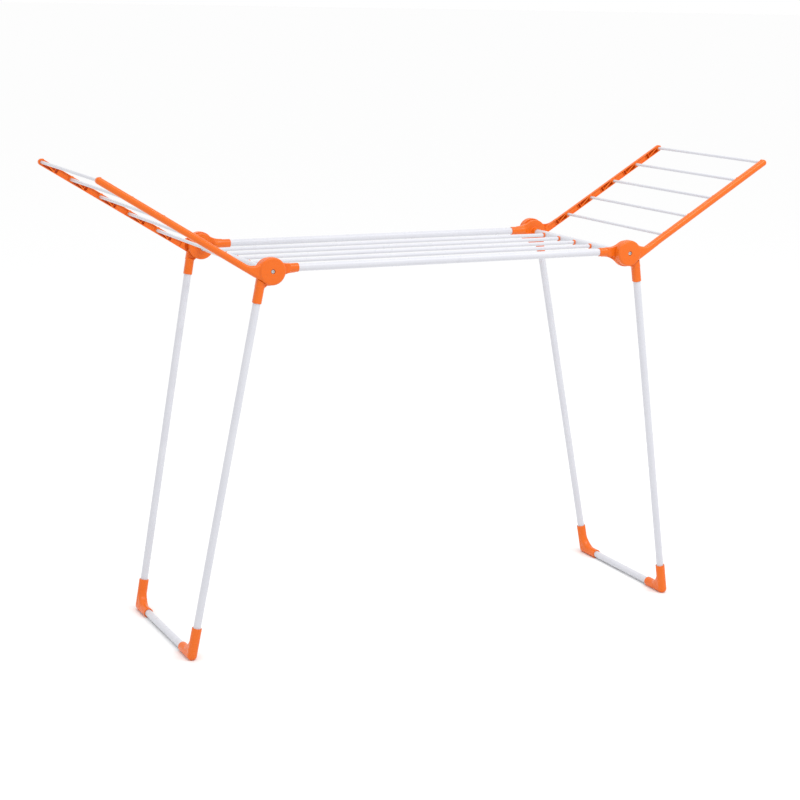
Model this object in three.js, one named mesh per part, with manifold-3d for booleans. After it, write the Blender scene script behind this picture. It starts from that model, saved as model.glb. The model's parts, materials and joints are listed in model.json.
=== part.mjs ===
// A folding clothes drying rack: a table of rods on two folding leg frames, with a folding wing at each end.
//
// Units are millimetres and +Z is up. The origin is on the floor under the middle of the rack, +X runs
// along the rails towards the right-hand wing, and +Y runs from the front to the rear.
//
// The rack has two mirror planes, so every corner piece is drawn once, for the front right-hand corner.
// Its rear copy is mirrored in Y, and the left-hand end is the right-hand end turned half a turn about Z.
// A corner piece is placed across the rack by its distance from the middle plane, so y is minus that.

import * as THREE from 'three';
import { mergeVertices } from 'three/addons/utils/BufferGeometryUtils.js';
import Module from 'manifold-3d';

const library = await Module();
library.setup();

// Clearance between neighbouring pieces, how far a cutting tool runs past the face it enters by, and the
// distance within which two vertices are one.
const GAP = 0.3;
const PAST = 1;
const MERGE_STEP = 1e-4;

// Tubes and rods.
const TUBE_RADIUS = 9;
const TUBE_WALL = 0.8;
const TABLE_ROD_RADIUS = 4.75;
const WING_ROD_RADIUS = 3.75;
const ROD_WALL = 0.6;

// Sides of the round pieces, and steps in a curve.
const TUBE_SIDES = 12;
const ROD_SIDES = 8;
const DISC_SIDES = 24;
const SCREW_SIDES = 10;
const CURVE_STEPS = 6;
const CORNER_STEPS = 3;

// Hub: the pivot axis that a wing and a leg frame share at each end of the table.
const HUB_X = 475;
const HUB_Z = 920;
const HUB_RADIUS = 32;

// Layers of a corner, as distances from the middle plane, from the inside out.
const BRACKET_INNER = 224;
const BRACKET_OUTER = 236;
const LEG_PLATE_INNER = BRACKET_OUTER + GAP;
const LEG_PLATE_OUTER = 246.7;
const ARM_DISC_INNER = LEG_PLATE_OUTER + GAP;
const ARM_DISC_OUTER = 257;
const ARM_BAR_INNER = 237;
const ARM_BAR_OUTER = 251.5;

// Table: rails, end tubes and rods, with heights from the pivot axis.
const RAIL_Y = 225;
const RAIL_RISE = 2.6;
const RAIL_END = 45;
const END_TUBE_OUT = 1;
const END_TUBE_RISE = -3;
const END_TUBE_HALF = 226;
const TABLE_ROD_COUNT = 5;
const TABLE_ROD_PITCH = 79;
const TABLE_ROD_RISE = -3.2;

// Corner bracket: a round body centred on the end tube, a sleeve for the rail and a boss for the end tube.
const SLEEVE_RADIUS = 10.5;
const SLEEVE_START = 36;
const SLEEVE_END = 73;
const FLARE_RADIUS = 60;
const FILLET_RADIUS = 8;
const FLARE_OUTER = 228.2;
const BOSS_RADIUS = 12;
const BOSS_END = 208;

// Pivot screw and its nut.
const SCREW_RADIUS = 2.5;
const SCREW_HEAD_RADIUS = 4.6;
const SCREW_HEAD_HEIGHT = 3;
const SCREW_HEAD_CHAMFER = 1;
const SCREW_RECESS_RADIUS = 5.4;
const SCREW_RECESS_DEPTH = 4.5;
const SCREW_CROSS_WIDTH = 1.1;
const SCREW_CROSS_SPAN = 5;
const SCREW_CROSS_DEPTH = 1.6;
const NUT_RADIUS = 4.6;
const NUT_SIDES = 6;
const NUT_HEIGHT = 4;
const NUT_RECESS_RADIUS = 6;
const NUT_RECESS_FLOOR = 231;

// Bush at each end of a table rod.
const BUSH_COLLAR_RADIUS = 6.8;
const BUSH_COLLAR_LENGTH = 3.5;
const BUSH_SPIGOT_RADIUS = 5.8;
const BUSH_SPIGOT_LENGTH = 4;
const END_TUBE_X = HUB_X + END_TUBE_OUT;
const BUSH_SHOULDER_X = END_TUBE_X - TUBE_RADIUS - GAP;

// Wings, drawn flat with X running out from the pivot axis along the arms.
const WING_ANGLE = THREE.MathUtils.degToRad(31.4);
const WING_ROD_COUNT = 5;
const WING_ROD_FIRST = 116;
const WING_ROD_PITCH = 83.6;
const WING_ROD_DROP = -24;
const SEAT_FACE = 235.5;
const SEAT_RADIUS = 6.2;
const WING_ROD_END = SEAT_FACE + 8;
const ARM_HALF_HEIGHT = 8;
const ARM_WALL = 2;
const ARM_EDGE = 5;
const ARM_NECK_CURVE = 35;
const ARM_NECK_OUTER = 254;
const ARM_CLEAR_RADIUS = 41;
const POCKET_FLOOR = 246;
const PAD_FLOOR = 240;
const RIB = 1.5;
const DRAIN_LENGTH = 7;

// Leg frames, drawn hanging straight down from the pivot axis, with X on the outboard side.
const LEG_SPLAY = THREE.MathUtils.degToRad(10);
const LEG_OFFSET = 20.5;
const LEG_TOP_Y = 243;
const FOOT_Y = 199;
const FOOT_AXIS_Z = 11;
const LEG_LENGTH = (HUB_Z + LEG_OFFSET * Math.sin(LEG_SPLAY) - FOOT_AXIS_Z) / Math.cos(LEG_SPLAY);
const LEG_TAPER = Math.atan2(LEG_TOP_Y - FOOT_Y, LEG_LENGTH);
const LEG_LINE = LEG_LENGTH / Math.cos(LEG_TAPER);
const LEG_TUBE_START = 45;
const SOCKET_SIZE = 21;
const SOCKET_CORNER = 8.5;
const SOCKET_START = 38;
const SOCKET_END = 78;
const NECK_OUTER = 251.5;
const NECK_OVERLAP = 2;
const NECK_HUB_HALF = 26;
const ELBOW_RADIUS = 12;
const ELBOW_ARM = 68;
const ELBOW_INSERT = 44;

// Materials.
const ORANGE = { color: 0xf07030, roughness: 0.35, metalness: 0 };
const WHITE = { color: 0xeceef4, roughness: 0.3, metalness: 0 };
const STEEL = { color: 0xb8bcc0, roughness: 0.3, metalness: 1 };

// ---------------------------------------------------------------------------------------------------------
// Solid helpers
// ---------------------------------------------------------------------------------------------------------

/** A closed geometry as a solid that can be joined and cut. */
function solidOf(geometry) {
  const bare = geometry.clone();
  bare.deleteAttribute('normal');
  bare.deleteAttribute('uv');
  const merged = mergeVertices(bare, MERGE_STEP);
  const mesh = new library.Mesh({
    numProp: 3,
    vertProperties: Float32Array.from(merged.attributes.position.array),
    triVerts: Uint32Array.from(merged.index.array),
  });
  return new library.Manifold(mesh);
}

/** The surface of a solid as a geometry. */
function geometryOf(solid) {
  const { vertProperties, triVerts } = solid.getMesh();
  const geometry = new THREE.BufferGeometry();
  geometry.setAttribute('position', new THREE.BufferAttribute(vertProperties, 3));
  geometry.setIndex(new THREE.BufferAttribute(triVerts, 1));
  return geometry;
}

/** One geometry made of several that overlap. */
function join(...geometries) {
  return geometryOf(geometries.map(solidOf).reduce((sum, solid) => sum.add(solid)));
}

/** A geometry with the others cut out of it. */
function cut(body, ...tools) {
  return geometryOf(tools.map(solidOf).reduce((rest, tool) => rest.subtract(tool), solidOf(body)));
}

/** The rear copy of a front piece: mirrored in Y, with its faces turned to point outwards again. */
function mirrored(geometry) {
  const copy = geometry.index ? geometry.clone() : mergeVertices(geometry.clone().deleteAttribute('uv'));
  copy.scale(1, -1, 1);
  const order = copy.index.array;
  for (let i = 0; i < order.length; i += 3) {
    [order[i], order[i + 1]] = [order[i + 1], order[i]];
  }
  return copy;
}

/** Radius of a faceted bore whose flats keep the gap to a round piece of this radius. */
function boreRadius(radius, sides) {
  return (radius + GAP) / Math.cos(Math.PI / sides);
}

/** An outline drawn out along Z by a depth. */
function drawnOut(outline, depth) {
  return new THREE.ExtrudeGeometry(outline, { depth, bevelEnabled: false, curveSegments: CURVE_STEPS });
}

/** A flat outline in X and Z, given thickness between two distances from the middle plane. */
function slab(outline, inner, outer) {
  return drawnOut(outline, outer - inner).rotateX(Math.PI / 2).translate(0, -inner, 0);
}

/** A section in Y and Z, drawn out along X. */
function barAlongX(section, from, to) {
  const axes = [new THREE.Vector3(0, 1, 0), new THREE.Vector3(0, 0, 1), new THREE.Vector3(1, 0, 0)];
  const turn = new THREE.Matrix4().makeBasis(...axes);
  return drawnOut(section, to - from).applyMatrix4(turn).translate(from, 0, 0);
}

/** A solid cylinder along X, Y or Z between two places on that axis. */
function cylinderAlong(axis, radius, from, to, sides) {
  const geometry = new THREE.CylinderGeometry(radius, radius, to - from, sides);
  geometry.translate(0, (from + to) / 2, 0);
  if (axis === 'x') {
    geometry.rotateZ(-Math.PI / 2);
  }
  if (axis === 'z') {
    geometry.rotateX(Math.PI / 2);
  }
  return geometry;
}

/** A bore for a tube, along X, Y or Z between two places on that axis. */
function tubeBore(axis, from, to) {
  return cylinderAlong(axis, boreRadius(TUBE_RADIUS, TUBE_SIDES), from, to, TUBE_SIDES);
}

/** A ball with its poles on Z. */
function ball(radius) {
  return new THREE.SphereGeometry(radius, TUBE_SIDES, TUBE_SIDES / 2);
}

/** A solid of revolution about Y from a profile of [radius, y] points that starts and ends on the axis. */
function turned(profile, sides) {
  return new THREE.LatheGeometry(profile.map(([radius, y]) => new THREE.Vector2(radius, y)), sides);
}

/** Points of a quarter circle from the axis side of its centre to its side, as [radius, y], bulging to -Y. */
function quarterRound(centreRadius, centreY, radius, steps) {
  return Array.from({ length: steps + 1 }, (_, i) => {
    const angle = (i / steps) * (Math.PI / 2);
    return [centreRadius + radius * Math.sin(angle), centreY - radius * Math.cos(angle)];
  });
}

/** A tube with open ends along Y, centred on the origin. */
function openTube(radius, wall, length, sides) {
  const inner = radius - wall;
  const half = length / 2;
  return turned([[inner, -half], [radius, -half], [radius, half], [inner, half], [inner, -half]], sides);
}

/** A box given by its size and its middle. */
function box(sizeX, sizeY, sizeZ, x, y, z) {
  return new THREE.BoxGeometry(sizeX, sizeY, sizeZ).translate(x, y, z);
}

/** A straight-sided outline through these [x, z] points. */
function polygon(points) {
  return new THREE.Shape(points.map(([x, z]) => new THREE.Vector2(x, z)));
}

/** A named piece with a material of its own. */
function piece(name, geometry, finish) {
  const mesh = new THREE.Mesh(geometry, new THREE.MeshStandardMaterial(finish));
  mesh.name = name;
  return mesh;
}

// ---------------------------------------------------------------------------------------------------------
// Corner bracket: holds a rail and an end tube, and carries the pivot screw
// ---------------------------------------------------------------------------------------------------------

/** Centre of a hollow curve that touches the bracket's round body and a level line above or below it. */
function curveCentre(lineZ, radius, upwards) {
  const z = lineZ + upwards * radius;
  return [END_TUBE_OUT - Math.sqrt((HUB_RADIUS + radius) ** 2 - (z - END_TUBE_RISE) ** 2), z];
}

/** Outline of the bracket: the round body, with a hollow curve above and below that runs into the sleeve. */
function bracketOutline(upperRadius, lowerRadius) {
  const [upperX, upperZ] = curveCentre(RAIL_RISE + SLEEVE_RADIUS, upperRadius, 1);
  const [lowerX, lowerZ] = curveCentre(RAIL_RISE - SLEEVE_RADIUS, lowerRadius, -1);
  const upperAngle = Math.atan2(upperZ - END_TUBE_RISE, upperX - END_TUBE_OUT);
  const lowerAngle = Math.atan2(lowerZ - END_TUBE_RISE, lowerX - END_TUBE_OUT);
  const outline = new THREE.Shape();
  outline.absarc(END_TUBE_OUT, END_TUBE_RISE, HUB_RADIUS, lowerAngle, upperAngle);
  outline.absarc(upperX, upperZ, upperRadius, upperAngle - Math.PI, -Math.PI / 2, true);
  outline.absarc(lowerX, lowerZ, lowerRadius, Math.PI / 2, lowerAngle + Math.PI, true);
  return outline;
}

/** The clearance hole for the pivot screw, through every layer of a hub. */
function pivotHole() {
  const radius = boreRadius(SCREW_RADIUS, SCREW_SIDES);
  return cylinderAlong('y', radius, -ARM_DISC_OUTER - PAST, -BRACKET_INNER + PAST, SCREW_SIDES);
}

/** Bracket. Its wide lower curve is on the inner layer only, so that the folded leg socket clears it. */
function cornerBracket() {
  const body = slab(bracketOutline(FLARE_RADIUS, FILLET_RADIUS), BRACKET_INNER, BRACKET_OUTER);
  const flare = slab(bracketOutline(FLARE_RADIUS, FLARE_RADIUS), BRACKET_INNER, FLARE_OUTER);
  const sleeve = cylinderAlong('x', SLEEVE_RADIUS, -SLEEVE_END, -SLEEVE_START, TUBE_SIDES);
  const nose = ball(SLEEVE_RADIUS).rotateZ(Math.PI / 2).translate(-SLEEVE_START, 0, 0);
  const railBore = tubeBore('x', -SLEEVE_END - PAST, -RAIL_END + GAP);
  for (const part of [sleeve, nose, railBore]) {
    part.translate(0, -RAIL_Y, RAIL_RISE);
  }
  const boss = cylinderAlong('y', BOSS_RADIUS, -BRACKET_OUTER, -BOSS_END, TUBE_SIDES);
  const bore = tubeBore('y', -END_TUBE_HALF - GAP, -BOSS_END + PAST);
  for (const part of [boss, bore]) {
    part.translate(END_TUBE_OUT, 0, END_TUBE_RISE);
  }
  const nutRecess = cylinderAlong('y', NUT_RECESS_RADIUS, -NUT_RECESS_FLOOR, -END_TUBE_HALF, SCREW_SIDES);
  return cut(join(body, flare, sleeve, nose, boss), railBore, bore, nutRecess, pivotHole());
}

// ---------------------------------------------------------------------------------------------------------
// Pivot screw and nut
// ---------------------------------------------------------------------------------------------------------

/** Pan-head cross screw, from the recess in the wing arm through to the nut. */
function pivotScrew() {
  const seat = -(ARM_DISC_OUTER - SCREW_RECESS_DEPTH + GAP);
  const crown = seat - SCREW_HEAD_HEIGHT;
  const tip = -(NUT_RECESS_FLOOR - GAP - NUT_HEIGHT);
  const body = turned([
    [0, crown],
    [SCREW_HEAD_RADIUS - SCREW_HEAD_CHAMFER, crown],
    [SCREW_HEAD_RADIUS, crown + SCREW_HEAD_CHAMFER],
    [SCREW_HEAD_RADIUS, seat],
    [SCREW_RADIUS, seat],
    [SCREW_RADIUS, tip],
    [0, tip],
  ], SCREW_SIDES);
  const depth = SCREW_CROSS_DEPTH + PAST;
  const middle = crown - PAST + depth / 2;
  const slotX = box(SCREW_CROSS_SPAN, depth, SCREW_CROSS_WIDTH, 0, middle, 0);
  const slotZ = box(SCREW_CROSS_WIDTH, depth, SCREW_CROSS_SPAN, 0, middle, 0);
  return cut(body, slotX, slotZ);
}

/** Hexagonal nut on the floor of its recess in the corner bracket, under the end of the end tube. */
function pivotNut() {
  const floor = -(NUT_RECESS_FLOOR - GAP);
  return cut(cylinderAlong('y', NUT_RADIUS, floor, floor + NUT_HEIGHT, NUT_SIDES), pivotHole());
}

// ---------------------------------------------------------------------------------------------------------
// Table
// ---------------------------------------------------------------------------------------------------------

/** Places of the table rods across the rack, from the front to the rear. */
function tableRodPlaces() {
  const middle = (TABLE_ROD_COUNT - 1) / 2;
  return Array.from({ length: TABLE_ROD_COUNT }, (_, i) => (i - middle) * TABLE_ROD_PITCH);
}

function rail() {
  return openTube(TUBE_RADIUS, TUBE_WALL, 2 * (HUB_X - RAIL_END), TUBE_SIDES).rotateZ(Math.PI / 2);
}

function tableRod() {
  const length = 2 * (BUSH_SHOULDER_X + BUSH_SPIGOT_LENGTH);
  return openTube(TABLE_ROD_RADIUS, ROD_WALL, length, ROD_SIDES).rotateZ(Math.PI / 2);
}

/** Collar at the right-hand end of a table rod, with a spigot that enters the end tube. */
function rodBush() {
  const bore = boreRadius(TABLE_ROD_RADIUS, ROD_SIDES);
  const collarStart = BUSH_SHOULDER_X - BUSH_COLLAR_LENGTH;
  const spigotEnd = BUSH_SHOULDER_X + BUSH_SPIGOT_LENGTH;
  const bush = turned([
    [bore, collarStart],
    [BUSH_COLLAR_RADIUS, collarStart],
    [BUSH_COLLAR_RADIUS, BUSH_SHOULDER_X],
    [BUSH_SPIGOT_RADIUS, BUSH_SHOULDER_X],
    [BUSH_SPIGOT_RADIUS, spigotEnd],
    [bore, spigotEnd],
    [bore, collarStart],
  ], ROD_SIDES);
  return bush.rotateZ(-Math.PI / 2);
}

/** Right-hand end tube, with a hole in its inboard side for each rod bush. */
function endTube() {
  const tube = openTube(TUBE_RADIUS, TUBE_WALL, 2 * END_TUBE_HALF, TUBE_SIDES);
  tube.translate(END_TUBE_X, 0, END_TUBE_RISE);
  const holeRadius = boreRadius(BUSH_SPIGOT_RADIUS, ROD_SIDES);
  const holes = tableRodPlaces().map((y) => {
    const hole = cylinderAlong('x', holeRadius, END_TUBE_X - TUBE_RADIUS - PAST, END_TUBE_X, ROD_SIDES);
    return hole.translate(0, y, TABLE_ROD_RISE);
  });
  return cut(tube, ...holes);
}

// ---------------------------------------------------------------------------------------------------------
// Wing
// ---------------------------------------------------------------------------------------------------------

/** Places of the wing rods along an arm, from the table outwards. */
function wingRodPlaces() {
  return Array.from({ length: WING_ROD_COUNT }, (_, i) => WING_ROD_FIRST + i * WING_ROD_PITCH);
}

/** Hub disc of an arm, with its outer edge rounded over. */
function armDisc() {
  const edge = quarterRound(HUB_RADIUS - ARM_EDGE, -ARM_DISC_OUTER + ARM_EDGE, ARM_EDGE, CORNER_STEPS);
  const profile = [[0, -ARM_DISC_OUTER], ...edge, [HUB_RADIUS, -ARM_DISC_INNER], [0, -ARM_DISC_INNER]];
  return turned(profile, DISC_SIDES);
}

/** Outline of the neck, where the bar widens into the hub disc with a hollow curve along its upper side. */
function neckOutline() {
  const curveZ = WING_ROD_DROP + ARM_HALF_HEIGHT + ARM_NECK_CURVE;
  const curveX = Math.sqrt((HUB_RADIUS + ARM_NECK_CURVE) ** 2 - curveZ ** 2);
  const towardsHub = Math.atan2(-curveZ, -curveX);
  const outline = new THREE.Shape();
  outline.moveTo(0, -HUB_RADIUS);
  outline.lineTo(curveX, -HUB_RADIUS);
  outline.absarc(curveX, curveZ, ARM_NECK_CURVE, -Math.PI / 2, towardsHub, true);
  outline.lineTo(0, 0);
  return outline;
}

/** D-shaped section of the bar: flat towards the middle of the rack, half round on the outside. */
function barSection() {
  const roundCentre = ARM_BAR_OUTER - ARM_HALF_HEIGHT;
  const section = new THREE.Shape();
  section.moveTo(-ARM_BAR_INNER, WING_ROD_DROP - ARM_HALF_HEIGHT);
  section.lineTo(-ARM_BAR_INNER, WING_ROD_DROP + ARM_HALF_HEIGHT);
  section.absarc(-roundCentre, WING_ROD_DROP, ARM_HALF_HEIGHT, Math.PI / 2, Math.PI * 1.5);
  return section;
}

/** Rounded end of the bar: its section turned about the outermost rod. */
function barTip() {
  const dome = quarterRound(0, -(ARM_BAR_OUTER - ARM_HALF_HEIGHT), ARM_HALF_HEIGHT, CORNER_STEPS + 1);
  const tip = turned([...dome, [ARM_HALF_HEIGHT, -ARM_BAR_INNER], [0, -ARM_BAR_INNER]], 2 * CURVE_STEPS);
  return tip.translate(wingRodPlaces().at(-1), 0, WING_ROD_DROP);
}

/** Pocket in the open side of the bar, with corners given along the bar and up from its middle line. */
function pocket(floor, corners) {
  return slab(polygon(corners.map(([x, z]) => [x, WING_ROD_DROP + z])), ARM_BAR_INNER - PAST, floor);
}

/** The pockets of one bay, from one rod seat to the next: a shallow half, a drain hole and a braced half. */
function bayPockets(fromX, toX) {
  const reach = ARM_HALF_HEIGHT - ARM_WALL;
  const middle = (fromX + toX) / 2;
  const padStart = fromX + SEAT_RADIUS;
  const drainStart = middle - DRAIN_LENGTH / 2;
  const drainEnd = middle + DRAIN_LENGTH / 2;
  const braceStart = drainEnd + RIB;
  const braceEnd = toX - SEAT_RADIUS;
  const rectangle = (from, to) => [[from, -reach], [to, -reach], [to, reach], [from, reach]];
  return [
    pocket(PAD_FLOOR, rectangle(padStart, drainStart - RIB)),
    pocket(POCKET_FLOOR, rectangle(drainStart, drainEnd)),
    pocket(POCKET_FLOOR, [[braceStart, -reach], [braceEnd, -reach], [braceEnd, reach - 2 * RIB]]),
    pocket(POCKET_FLOOR, [[braceStart, -reach + 2 * RIB], [braceEnd, reach], [braceStart, reach]]),
  ];
}

/** A cylinder across the arm at each rod seat. */
function atRodSeats(radius, from, to) {
  const places = wingRodPlaces();
  return places.map((x) => cylinderAlong('y', radius, from, to, ROD_SIDES).translate(x, 0, WING_ROD_DROP));
}

function wingArm() {
  const rods = wingRodPlaces();
  const neck = slab(neckOutline(), ARM_DISC_INNER, ARM_NECK_OUTER);
  const bar = cut(
    barAlongX(barSection(), HUB_RADIUS / 2, rods.at(-1)),
    cylinderAlong('y', ARM_CLEAR_RADIUS, -ARM_DISC_INNER, -ARM_BAR_INNER + PAST, DISC_SIDES),
  );
  const bayStarts = [ARM_CLEAR_RADIUS - ARM_WALL, ...rods];
  const pockets = rods.flatMap((x, i) => bayPockets(bayStarts[i], x));
  const shell = cut(join(armDisc(), neck, bar, barTip()), ...pockets);
  const seats = atRodSeats(SEAT_RADIUS, -POCKET_FLOOR, -SEAT_FACE);
  const bores = atRodSeats(boreRadius(WING_ROD_RADIUS, ROD_SIDES), -WING_ROD_END - GAP, -SEAT_FACE + PAST);
  const face = -ARM_DISC_OUTER;
  const recessFloor = face + SCREW_RECESS_DEPTH;
  const screwRecess = cylinderAlong('y', SCREW_RECESS_RADIUS, face - PAST, recessFloor, SCREW_SIDES);
  return cut(join(shell, ...seats), ...bores, screwRecess, pivotHole());
}

function wingRod() {
  return openTube(WING_ROD_RADIUS, ROD_WALL, 2 * WING_ROD_END, ROD_SIDES);
}

// ---------------------------------------------------------------------------------------------------------
// Leg frame
// ---------------------------------------------------------------------------------------------------------

/** Moves a piece drawn along Z onto the tapering line of a front leg, with its zero at the hub. */
function ontoLegLine(geometry) {
  return geometry.rotateX(LEG_TAPER).translate(LEG_OFFSET, -LEG_TOP_Y, 0);
}

/** Height of the underside of the raised wing, less the gap, at a place in the leg frame. */
function underWing(x) {
  const slope = WING_ANGLE - LEG_SPLAY;
  return (x * Math.sin(slope) - HUB_RADIUS - GAP) / Math.cos(slope);
}

/** Part of the leg plate that reaches from the hub disc to the socket, under the edge of the raised wing. */
function legNeck() {
  const half = SOCKET_SIZE / 2;
  const inboard = LEG_OFFSET - half;
  const outboard = LEG_OFFSET + half;
  const foot = -SOCKET_START - NECK_OVERLAP;
  const inner = polygon([
    [0, NECK_OVERLAP - HUB_RADIUS],
    [inboard, foot],
    [outboard, foot],
    [outboard, underWing(outboard)],
    [NECK_HUB_HALF, -half],
  ]);
  const outer = polygon([
    [inboard, underWing(inboard)],
    [inboard, foot],
    [outboard, foot],
    [outboard, underWing(outboard)],
  ]);
  return join(slab(inner, LEG_PLATE_INNER, LEG_PLATE_OUTER), slab(outer, LEG_PLATE_OUTER - PAST, NECK_OUTER));
}

/** Square block with round corners, from the neck down to the mouth of the socket. */
function socketBlock() {
  const inside = SOCKET_SIZE / 2 - SOCKET_CORNER;
  const outline = new THREE.Shape();
  [[1, 1], [-1, 1], [-1, -1], [1, -1]].forEach(([x, y], i) => {
    outline.absarc(x * inside, y * inside, SOCKET_CORNER, (i * Math.PI) / 2, ((i + 1) * Math.PI) / 2);
  });
  const depth = SOCKET_END - SOCKET_START;
  const settings = { depth, bevelEnabled: false, curveSegments: CORNER_STEPS };
  return new THREE.ExtrudeGeometry(outline, settings).translate(0, 0, -SOCKET_END);
}

function legSocket() {
  const disc = cylinderAlong('y', HUB_RADIUS, -LEG_PLATE_OUTER, -LEG_PLATE_INNER, DISC_SIDES);
  const bore = tubeBore('z', -SOCKET_END - PAST, -LEG_TUBE_START + GAP);
  return cut(join(disc, legNeck(), ontoLegLine(socketBlock())), ontoLegLine(bore), pivotHole());
}

function legTube() {
  const end = LEG_LINE - (ELBOW_ARM - ELBOW_INSERT);
  const tube = openTube(TUBE_RADIUS, TUBE_WALL, end - LEG_TUBE_START, TUBE_SIDES);
  return ontoLegLine(tube.rotateX(Math.PI / 2).translate(0, 0, -(end + LEG_TUBE_START) / 2));
}

/** Elbow between a leg and the foot tube, with a flat sole where it stands on the floor. */
function footElbow() {
  const insertEnd = ELBOW_ARM - ELBOW_INSERT - GAP;
  const upArm = ontoLegLine(cylinderAlong('z', ELBOW_RADIUS, -LEG_LINE, -LEG_LINE + ELBOW_ARM, TUBE_SIDES));
  const upBore = ontoLegLine(tubeBore('z', -LEG_LINE + insertEnd, -LEG_LINE + ELBOW_ARM + PAST));
  const sideArm = cylinderAlong('y', ELBOW_RADIUS, -FOOT_Y, -FOOT_Y + ELBOW_ARM, TUBE_SIDES);
  const sideBore = tubeBore('y', -FOOT_Y + insertEnd, -FOOT_Y + ELBOW_ARM + PAST);
  const heel = ball(ELBOW_RADIUS).translate(0, -FOOT_Y, 0);
  for (const part of [sideArm, sideBore, heel]) {
    part.translate(LEG_OFFSET, 0, -LEG_LENGTH);
  }
  const deep = 2 * ELBOW_ARM;
  const floor = box(HUB_Z, HUB_Z, deep, 0, 0, -HUB_Z - deep / 2).rotateY(LEG_SPLAY);
  return cut(join(upArm, sideArm, heel), upBore, sideBore, floor);
}

function footTube() {
  const tube = openTube(TUBE_RADIUS, TUBE_WALL, 2 * (FOOT_Y - (ELBOW_ARM - ELBOW_INSERT)), TUBE_SIDES);
  return tube.translate(LEG_OFFSET, 0, -LEG_LENGTH);
}

// ---------------------------------------------------------------------------------------------------------
// Assembly
// ---------------------------------------------------------------------------------------------------------

/** Adds the front and rear copies of a corner piece, named for the corner that they are at. */
function addCorners(group, name, side, geometry, finish) {
  const facing = side.turn === 0 ? ['front', 'rear'] : ['rear', 'front'];
  group.add(piece(`${name}_${facing[0]}_${side.name}`, geometry, finish));
  group.add(piece(`${name}_${facing[1]}_${side.name}`, mirrored(geometry), finish));
}

/** The pieces of one end of the rack that are fixed to the table. */
function tableEnd(side) {
  const end = new THREE.Group();
  end.add(piece(`end_tube_${side.name}`, endTube(), WHITE));
  const places = side.turn === 0 ? tableRodPlaces() : tableRodPlaces().reverse();
  places.forEach((y, i) => {
    const bush = piece(`rod_bush_${side.name}_${i + 1}`, rodBush(), ORANGE);
    bush.position.set(0, y, TABLE_ROD_RISE);
    end.add(bush);
  });
  const hub = new THREE.Group();
  hub.position.x = HUB_X;
  addCorners(hub, 'corner_bracket', side, cornerBracket(), ORANGE);
  addCorners(hub, 'pivot_screw', side, pivotScrew(), STEEL);
  addCorners(hub, 'pivot_nut', side, pivotNut(), STEEL);
  return end.add(hub);
}

/** One wing, raised to rest on the necks of the leg sockets. */
function wing(side) {
  const frame = new THREE.Group();
  frame.position.x = HUB_X;
  frame.rotation.y = -WING_ANGLE;
  addCorners(frame, 'wing_arm', side, wingArm(), ORANGE);
  wingRodPlaces().forEach((x, i) => {
    const rod = piece(`wing_rod_${side.name}_${i + 1}`, wingRod(), WHITE);
    rod.position.set(x, 0, WING_ROD_DROP);
    frame.add(rod);
  });
  return frame;
}

/** One leg frame, splayed outwards. */
function legFrame(side) {
  const frame = new THREE.Group();
  frame.position.x = HUB_X;
  frame.rotation.y = -LEG_SPLAY;
  addCorners(frame, 'leg_socket', side, legSocket(), ORANGE);
  addCorners(frame, 'leg_tube', side, legTube(), WHITE);
  addCorners(frame, 'foot_elbow', side, footElbow(), ORANGE);
  frame.add(piece(`foot_tube_${side.name}`, footTube(), WHITE));
  return frame;
}

/** The rails and rods that run the whole length of the table. */
function tableLengths() {
  const lengths = new THREE.Group();
  for (const [name, y] of [['front', -RAIL_Y], ['rear', RAIL_Y]]) {
    const tube = piece(`rail_${name}`, rail(), WHITE);
    tube.position.set(0, y, RAIL_RISE);
    lengths.add(tube);
  }
  tableRodPlaces().forEach((y, i) => {
    const rod = piece(`table_rod_${i + 1}`, tableRod(), WHITE);
    rod.position.set(0, y, TABLE_ROD_RISE);
    lengths.add(rod);
  });
  return lengths;
}

/** The whole rack, set up for use. */
function dryingRack() {
  const rack = new THREE.Group();
  const hubLevel = new THREE.Group();
  hubLevel.position.z = HUB_Z;
  hubLevel.add(tableLengths());
  for (const side of [{ name: 'right', turn: 0 }, { name: 'left', turn: Math.PI }]) {
    const end = new THREE.Group();
    end.rotation.z = side.turn;
    end.add(tableEnd(side), wing(side), legFrame(side));
    hubLevel.add(end);
  }
  return rack.add(hubLevel);
}

export default dryingRack();
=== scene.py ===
import json
import math

import bpy
import numpy as np
from mathutils import Matrix, Vector


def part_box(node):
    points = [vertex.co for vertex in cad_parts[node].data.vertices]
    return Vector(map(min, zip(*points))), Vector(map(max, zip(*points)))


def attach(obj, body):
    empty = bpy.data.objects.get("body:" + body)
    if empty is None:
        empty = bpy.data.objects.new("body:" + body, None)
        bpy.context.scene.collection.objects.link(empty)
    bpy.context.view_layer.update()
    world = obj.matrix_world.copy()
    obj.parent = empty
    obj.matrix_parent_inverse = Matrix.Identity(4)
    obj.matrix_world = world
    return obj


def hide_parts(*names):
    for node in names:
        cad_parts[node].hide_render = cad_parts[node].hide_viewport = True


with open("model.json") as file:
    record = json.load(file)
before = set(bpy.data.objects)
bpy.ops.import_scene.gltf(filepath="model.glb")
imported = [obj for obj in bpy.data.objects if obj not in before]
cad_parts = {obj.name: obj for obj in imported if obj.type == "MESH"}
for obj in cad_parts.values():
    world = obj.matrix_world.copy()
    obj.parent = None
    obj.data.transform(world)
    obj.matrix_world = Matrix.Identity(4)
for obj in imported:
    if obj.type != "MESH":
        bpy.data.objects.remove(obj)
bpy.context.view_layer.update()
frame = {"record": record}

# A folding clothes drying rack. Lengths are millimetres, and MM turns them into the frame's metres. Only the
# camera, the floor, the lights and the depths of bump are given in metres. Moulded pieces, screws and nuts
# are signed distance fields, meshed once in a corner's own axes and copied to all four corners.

MM = 0.001

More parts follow.
